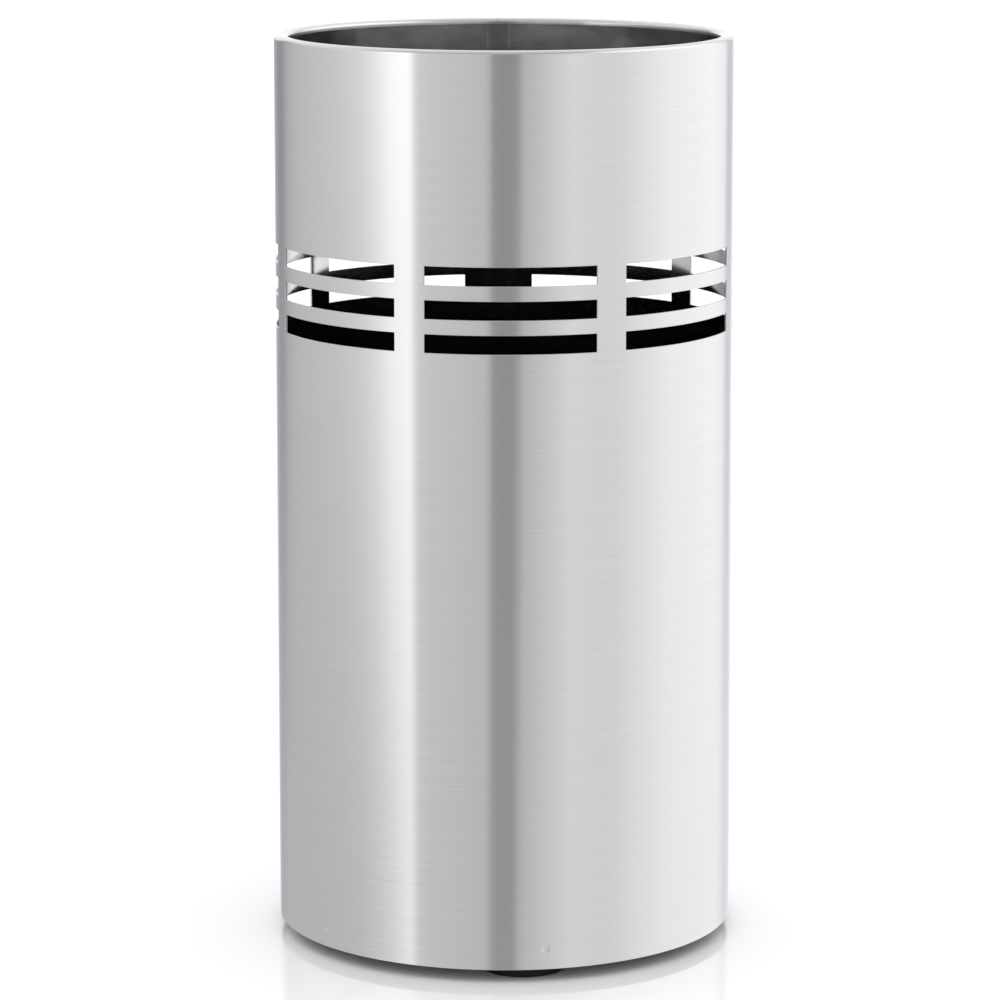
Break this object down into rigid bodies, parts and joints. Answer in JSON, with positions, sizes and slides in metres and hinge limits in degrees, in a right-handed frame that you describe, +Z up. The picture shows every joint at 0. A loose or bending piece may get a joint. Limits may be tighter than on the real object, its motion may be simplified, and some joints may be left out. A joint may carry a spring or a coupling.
{
  "type": "umbrella stand",
  "caption": "Open round umbrella stand: slotted brushed steel tube with a rolled rim, closed base on rubber feet, and a lift-out drip tray.",
  "frame": {"origin": "on the floor, under the middle of the tube", "axes": "+Z up along the tube, -Y the front, with the seam of the shell at +Y"},
  "size_m": [0.253, 0.253, 0.5],
  "materials": {
    "brushed_shell": "brushed round the tube, satin",
    "pan_steel": "matt mill finish",
    "black_plastic": "fine moulded grain",
    "foot_rubber": "matt",
    "fixing_steel": "plain stainless"
  },
  "bodies": {
    "root": {"shell": "brushed_shell", "base_pan": "pan_steel", "foot_1": "foot_rubber", "foot_2": "foot_rubber", "foot_3": "foot_rubber", "foot_seat_washer_1": "fixing_steel", "foot_seat_washer_2": "fixing_steel", "foot_seat_washer_3": "fixing_steel", "foot_screw_1": "fixing_steel", "foot_screw_2": "fixing_steel", "foot_screw_3": "fixing_steel", "foot_nut_washer_1": "fixing_steel", "foot_nut_washer_2": "fixing_steel", "foot_nut_washer_3": "fixing_steel", "foot_nut_1": "fixing_steel", "foot_nut_2": "fixing_steel", "foot_nut_3": "fixing_steel"},
    "tray": {"drip_tray": "black_plastic"}
  },
  "joints": [
    {"name": "tray_lift", "type": "slide", "parent": "root", "child": "tray", "axis": [0, 0, 1], "range_m": [0, 0.52]}
  ]
}
